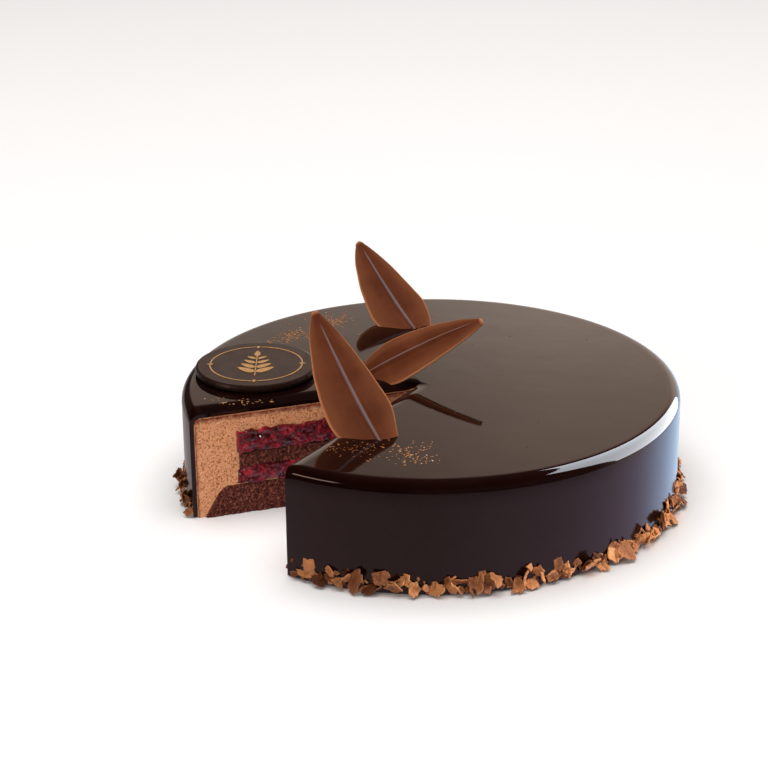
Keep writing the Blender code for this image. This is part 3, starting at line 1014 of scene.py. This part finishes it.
class FlatPrint:
    """Gathers flat closed shapes on the disc into one thin mesh."""

    def __init__(self):
        self.points = []
        self.faces = []

    def shape(self, outline):
        count = len(outline)
        base = len(self.points)
        for lift in (PRINT_LIFT, PRINT_LIFT + PRINT_THICKNESS):
            for x, y in outline:
                self.points.append((PLAQUE_CENTRE.x + x, PLAQUE_CENTRE.y + y, PLAQUE_TOP + lift))
        self.faces.append(tuple(base + i for i in reversed(range(count))))
        self.faces.append(tuple(base + count + i for i in range(count)))
        for i, k in rim_pairs(count):
            self.faces.append((base + i, base + k, base + count + k, base + count + i))

    def band(self, radius, width, start, end, steps):
        turns = [unit(start + (end - start) * i / steps) for i in range(steps + 1)]
        outer = [turn * (radius + width / 2) for turn in turns]
        inner = [turn * (radius - width / 2) for turn in turns]
        self.shape(outer + inner[::-1])

    def petal(self, x, y, heading, length, width):
        outline = []
        for i in range(24):
            turn = math.tau * i / 24
            along = length / 2 * (1 + math.cos(turn))
            across = width / 2 * math.sin(turn) * (1 - 0.35 * math.cos(turn))
            outline.append((
                x + along * math.cos(heading) - across * math.sin(heading),
                y + along * math.sin(heading) + across * math.cos(heading),
            ))
        self.shape(outline)


def plaque_print(material):
    sheet = FlatPrint()
    for i in range(RING_ARCS):
        start = math.tau * (i + (1 - RING_ARC_SHARE) / 2) / RING_ARCS
        sheet.band(RING_RADIUS, RING_WIDTH, start, start + math.tau * RING_ARC_SHARE / RING_ARCS, 40)
        heading = start - BEAD_TURN
        sheet.petal(*unit(heading) * BEAD_RADIUS, heading, 0.0028, 0.0016)
    for level in range(4):
        y = SPRIG_FOOT + 0.0045 + 0.0056 * level
        size = 0.0098 - 0.0016 * level
        sheet.petal(SPRIG_STEM, y, PETAL_RISE, size, size * 0.40)
        sheet.petal(-SPRIG_STEM, y, math.pi - PETAL_RISE, size, size * 0.40)
    sheet.petal(0.0, 0.0098, math.pi / 2, 0.0066, 0.0027)
    half = STEM_WIDTH / 2
    sheet.shape([(-half, SPRIG_FOOT), (half, SPRIG_FOOT), (half, SPRIG_TOP), (-half, SPRIG_TOP)])
    mesh = outward_mesh("plaque_print", sheet.points, sheet.faces)
    return add_piece("plaque_print", mesh, material, smooth=False)


# Crumbs sprinkled over the glaze, by patches: centre, spread, turn, how many and how pale

CRUMB_PATCHES = (
    ((-0.0455, 0.0800), (0.0036, 0.0060), -20, 170, 0.92),
    ((-0.0670, 0.0590), (0.0042, 0.0062), -15, 110, 0.92),
    ((-0.0600, 0.0680), (0.0110, 0.0100), 0, 60, 0.80),
    ((-0.0800, 0.0480), (0.0070, 0.0030), 20, 34, 0.95),
    ((-0.0836, -0.0240), (0.0062, 0.0011), 5, 30, 1.05),
    ((-0.0940, -0.0200), (0.0060, 0.0014), 0, 8, 1.00),
    ((-0.0340, -0.0770), (0.0085, 0.0036), 0, 80, 0.50),
    ((-0.0105, -0.0860), (0.0052, 0.0070), 25, 84, 1.08),
    ((-0.0150, -0.0800), (0.0090, 0.0060), 0, 30, 0.95),
    ((0.0060, 0.0840), (0.0050, 0.0050), 0, 14, 0.70),
)
LONE_CRUMBS = 16
LONE_CRUMB_TONE = 0.1
CRUMB_SIZES = (0.00016, 0.00050, 0.00026)
CRUMB_TONE_SPREAD = 0.16
NOTCH_MARGIN = 0.002
PLAQUE_MARGIN = 0.0010


def crumb_spots(draw):
    """Places and tones: first the patches, then a few lone crumbs."""
    spots = []
    for centre, spread, turn, count, pale in CRUMB_PATCHES:
        along = unit(math.radians(turn))
        for _ in range(count):
            u = draw.gauss(0, spread[0])
            v = draw.gauss(0, spread[1])
            x = centre[0] + along.x * u - along.y * v
            y = centre[1] + along.y * u + along.x * v
            spots.append((x, y, pale + draw.uniform(-CRUMB_TONE_SPREAD, CRUMB_TONE_SPREAD)))
    for _ in range(LONE_CRUMBS):
        place = unit(draw.uniform(NEAR_CUT, FAR_CUT)) * (CAKE_RADIUS * math.sqrt(draw.random()))
        spots.append((place.x, place.y, LONE_CRUMB_TONE))
    return spots


def sprinkled_crumbs(material):
    draw = random.Random(77)
    points = []
    faces = []
    tones = []
    for x, y, tone in crumb_spots(draw):
        size = draw.triangular(*CRUMB_SIZES)
        if math.hypot(x, y) > CAKE_RADIUS - RIM_ROUND or in_notch(x, y, NOTCH_MARGIN):
            continue
        if (Vector((x, y)) - PLAQUE_CENTRE).length < PLAQUE_RADIUS + PLAQUE_MARGIN:
            continue
        crumb(points, faces, Vector((x, y, top_height(x, y) + size * 0.15)), size, draw)
        tones += [tone] * (len(points) - len(tones))
    mesh = outward_mesh("caramel_crumbs", points, faces)
    point_values(mesh, FLAKE_TONE_AND_EDGE_HIGHLIGHT, tones)
    return add_piece("caramel_crumbs", mesh, material, smooth=False)


def in_notch(x, y, margin):
    offset = Vector((x, y)) - NOTCH_POINT
    angle = math.atan2(offset.y, offset.x) % math.tau
    if FAR_CUT - math.tau < angle < NEAR_CUT:
        return True
    return any(reach > 0 and distance < margin for reach, distance in from_cuts(x, y))


def crumb(points, faces, centre, size, draw):
    """A small uneven bipyramid, longer one way."""
    base = len(points)
    spin = unit(draw.uniform(0, math.tau))
    longer = draw.uniform(1.1, 2.4)
    sides = 5
    for i in range(sides):
        turn = math.tau * i / sides
        along = size * longer * draw.uniform(0.7, 1.2) * math.cos(turn)
        across = size * draw.uniform(0.7, 1.2) * math.sin(turn)
        lift = size * draw.uniform(-0.15, 0.20)
        flat = Vector((spin.x * along - spin.y * across, spin.y * along + spin.x * across, lift))
        points.append(centre + flat)
    points.append(centre + Vector((0, 0, size * draw.uniform(0.25, 0.55))))
    points.append(centre - Vector((0, 0, size * 0.5)))
    for i, k in rim_pairs(sides):
        faces.append((base + i, base + k, base + sides))
        faces.append((base + k, base + i, base + sides + 1))


# Stage, lights and camera

FLOOR_RADIUS = 2.2


def stage_floor():
    bm = bmesh.new()
    bmesh.ops.create_circle(bm, cap_ends=True, segments=96, radius=FLOOR_RADIUS)
    mesh = bpy.data.meshes.new("floor")
    bm.to_mesh(mesh)
    bm.free()
    mesh.materials.append(floor_look())
    floor = bpy.data.objects.new("floor", mesh)
    bpy.context.scene.collection.objects.link(floor)
    floor.visible_glossy = False


LIT_SPOT = (0.0, 0.0, 0.04)
CEILING_STRENGTH = 1.5
CEILING_SPREAD = math.radians(70)

# The large box whose mirror image is the highlight along the rim
BOX_BEARING = math.radians(24.0)
BOX_RISE = math.radians(25.5)
BOX_DISTANCE = 3.0
BOX_SIZE = (3.9, 4.3)
BOX_POWER = 440.0
BOX_COLOUR = (0.87, 0.92, 1.0)


def soft_light(name, place, size, power, colour, mirrored, aim=LIT_SPOT):
    data = bpy.data.lights.new(name, "AREA")
    data.shape = "RECTANGLE"
    data.size, data.size_y = size
    data.energy = power
    data.color = colour
    light = bpy.data.objects.new(name, data)
    bpy.context.scene.collection.objects.link(light)
    light.location = place
    light.rotation_mode = "QUATERNION"
    light.rotation_quaternion = (Vector(aim) - Vector(place)).to_track_quat("-Z", "Y")
    light.visible_glossy = mirrored
    light.visible_camera = False
    return light


def ceiling_light():
    data = bpy.data.lights.new("ceiling", "SUN")
    data.energy = CEILING_STRENGTH
    data.angle = CEILING_SPREAD
    ceiling = bpy.data.objects.new("ceiling", data)
    bpy.context.scene.collection.objects.link(ceiling)
    ceiling.visible_glossy = False


def studio_lights(cut_pieces, flakes, rim):
    soft_light("overhead", (0.0, 0.1, 1.6), (1.8, 1.8), 20.0, (1.0, 0.99, 0.98), False)
    soft_light("front_fill", (-0.5, -1.4, 0.8), (1.0, 0.8), 7.0, (1.0, 0.97, 0.94), False)
    ceiling_light()
    glint = soft_light("glint", (-0.50, -0.95, 0.70), (0.16, 0.16), 4.2, (1.0, 1.0, 1.0), True)
    shine_only_on(glint, cut_pieces)
    right = soft_light("right_fill", (1.1, -0.35, 0.30), (0.5, 0.4), 22.0, (1.0, 0.96, 0.92), True)
    shine_only_on(right, [flakes])
    away = Vector((*unit(BOX_BEARING), 0)) * math.cos(BOX_RISE)
    away.z = math.sin(BOX_RISE)
    box = soft_light("box", away * BOX_DISTANCE, BOX_SIZE, BOX_POWER, BOX_COLOUR, True, (0, 0, 0))
    shine_only_on(box, [rim])


def shine_only_on(light, pieces):
    lit = bpy.data.collections.new(f"lit_by_{light.name}")
    for piece in pieces:
        lit.objects.link(piece)
    light.light_linking.receiver_collection = lit


# What the glaze mirrors, by direction: the pale backdrop low behind the cake by its sine of
# elevation, and the ring just below the horizon by its bearing from -X round through -Y, +X
# and +Y back to -X.
BACKDROP = [
    (0.00, (1.20, 0.96, 0.82)),
    (0.340, (1.14, 0.91, 0.77)),
    (0.375, (0.83, 0.63, 0.51)),
    (0.415, (0.68, 0.48, 0.39)),
    (0.445, (0.43, 0.28, 0.23)),
    (0.490, (0.10, 0.06, 0.05)),
    (0.700, (0.03, 0.025, 0.025)),
]
LOW_RING = [
    (0.00, (0.46, 0.38, 0.40)),
    (0.10, (0.52, 0.33, 0.34)),
    (0.25, (0.46, 0.30, 0.31)),
    (0.37, (0.61, 0.42, 0.50)),
    (0.425, (0.69, 0.50, 0.60)),
    (0.49, (0.77, 0.60, 0.81)),
    (0.547, (0.85, 0.75, 1.05)),
    (0.596, (1.06, 1.20, 1.67)),
    (0.644, (1.05, 1.36, 1.89)),
    (0.697, (0.93, 1.18, 1.50)),
    (0.80, (0.46, 0.39, 0.38)),
    (1.00, (0.46, 0.38, 0.40)),
]
# How the upper sky dims: from and to along one axis, and the brightness at either end
DIM_IN_FRONT = (-0.35, 0.55, 0.04, 1.0)
DIM_IN_MIDDLE = (-0.02, 0.085, 0.72, 1.08)
DIM_AT_LEFT = (-0.29, -0.14, 0.06, 1.0)

# Where the ring ends and the upper sky starts, in front and behind
RING_END = (-0.413, -0.33)
RING_END_BEHIND = (-0.10, 0.05)
BEHIND = (0.10, 0.50)

# A warm strip in front, by its bearings and heights
STRIP_COLOUR = (4.6, 2.9, 2.4)
STRIP_BEARINGS = (-163.0, -134.0)
STRIP_BEARING_BLUR = 3.0
STRIP_HEIGHTS = (0.28, 0.42)
STRIP_HEIGHT_BLUR = 0.02


class Sky(Nodes):
    """The world's shader: light that depends on the direction alone."""

    def __init__(self):
        world = bpy.data.worlds.new("studio")
        bpy.context.scene.world = world
        world.use_nodes = True
        super().__init__(world.node_tree)
        self.tree.nodes.clear()
        parts = self.node("ShaderNodeSeparateXYZ")
        self.fill(parts.inputs[0], self.node("ShaderNodeTexCoord").outputs["Generated"])
        self.x, self.y, self.height = parts.outputs
        bearing = self.maths("ARCTAN2", self.y, self.x)
        self.bearing = self.span(bearing, -math.pi, math.pi, 0.0, 1.0)

    def ease(self, value, low, high, to_low=0.0, to_high=1.0):
        return self.span(value, low, high, to_low, to_high, "SMOOTHSTEP")

    def blend_number(self, share, first, second):
        node = self.node("ShaderNodeMix")
        self.fill(node.inputs["Factor"], share)
        self.fill(node.inputs[2], first)
        self.fill(node.inputs[3], second)
        return node.outputs[0]

    def window(self, value, low, high, blur):
        """1 between low and high, and 0 outside them."""
        rise = self.ease(value, low - blur, low + blur)
        fall = self.ease(value, high - blur, high + blur, 1.0, 0.0)
        return self.maths("MULTIPLY", rise, fall)


def bearing_share(degrees):
    """The place on the ring of a bearing in degrees from +X towards +Y."""
    return 0.5 + degrees / 360.0


def front_strip(sky):
    first, last = (bearing_share(degrees) for degrees in STRIP_BEARINGS)
    across = sky.window(sky.bearing, first, last, STRIP_BEARING_BLUR / 360.0)
    return sky.maths("MULTIPLY", across, sky.window(sky.height, *STRIP_HEIGHTS, STRIP_HEIGHT_BLUR))


def studio_world():
    sky = Sky()
    share = sky.maths("MULTIPLY", sky.ease(sky.y, *DIM_IN_FRONT), sky.ease(sky.x, *DIM_IN_MIDDLE))
    share = sky.maths("MULTIPLY", share, sky.ease(sky.x, *DIM_AT_LEFT))
    upper = sky.blend(1.0, sky.ramp(sky.height, BACKDROP), share, "MULTIPLY")
    level = sky.ease(sky.height, *RING_END)
    level_behind = sky.ease(sky.height, *RING_END_BEHIND)
    risen = sky.blend_number(sky.ease(sky.y, *BEHIND), level, level_behind)
    around = sky.blend(risen, sky.ramp(sky.bearing, LOW_RING), upper)
    around = sky.blend(front_strip(sky), around, STRIP_COLOUR)
    path = sky.node("ShaderNodeLightPath")
    seen = sky.blend(path.outputs["Is Camera Ray"], around, (1.0, 1.0, 1.0))
    shader = sky.node("ShaderNodeBackground")
    sky.fill(shader.inputs["Color"], seen)
    output = sky.node("ShaderNodeOutputWorld")
    sky.fill(output.inputs["Surface"], shader.outputs[0])


def photo_camera():
    data = bpy.data.cameras.new("camera")
    data.lens = CAMERA_LENS
    data.sensor_width = 36.0
    data.clip_start = 0.01
    data.clip_end = 60.0
    camera = bpy.data.objects.new("camera", data)
    bpy.context.scene.collection.objects.link(camera)
    forward = Vector((0, math.cos(CAMERA_TILT), -math.sin(CAMERA_TILT)))
    level = Vector((1, 0, 0))
    upward = level.cross(forward)
    right = level * math.cos(CAMERA_ROLL) - upward * math.sin(CAMERA_ROLL)
    top = upward * math.cos(CAMERA_ROLL) + level * math.sin(CAMERA_ROLL)
    place = CAMERA_AIM - forward * CAMERA_DISTANCE
    turn = Matrix((right, top, -forward)).transposed().to_4x4()
    camera.matrix_world = Matrix.Translation(place) @ turn
    bpy.context.scene.camera = camera


def dress_layers(mousse, sponge, cherry, dark):
    layers = {
        mousse: ("mousse", "mousse_lower"),
        sponge: ("base_sponge", "sponge_middle"),
        cherry: ("cherry_lower", "cherry_upper"),
        dark: ("plaque",),
    }
    for material, names in layers.items():
        for name in names:
            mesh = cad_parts[name].data
            mesh.materials.clear()
            mesh.materials.append(material)


def build():
    bpy.context.scene.view_settings.view_transform = "Standard"
    mousse = mousse_look()
    sponge = sponge_look()
    cherry = cherry_look()
    flake = flake_look()
    dress_layers(mousse, sponge, cherry, plaque_look())
    glaze = glaze_look()
    top_profile, rim_profile = glaze_profiles()
    rim = glaze_skin("glaze_rim", rim_profile, glaze)
    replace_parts(glaze_skin("glaze_top", top_profile, glaze), "glaze")
    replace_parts(rim, "glaze")
    flakes = flakes_round_foot(flake)
    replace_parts(flakes, "glaze")
    cut_pieces = cut_faces(mousse, sponge, cherry)
    leaves(leaf_look())
    plaque_print(gold_look())
    sprinkled_crumbs(flake)
    stage_floor()
    studio_lights(cut_pieces, flakes, rim)
    studio_world()
    photo_camera()


build()
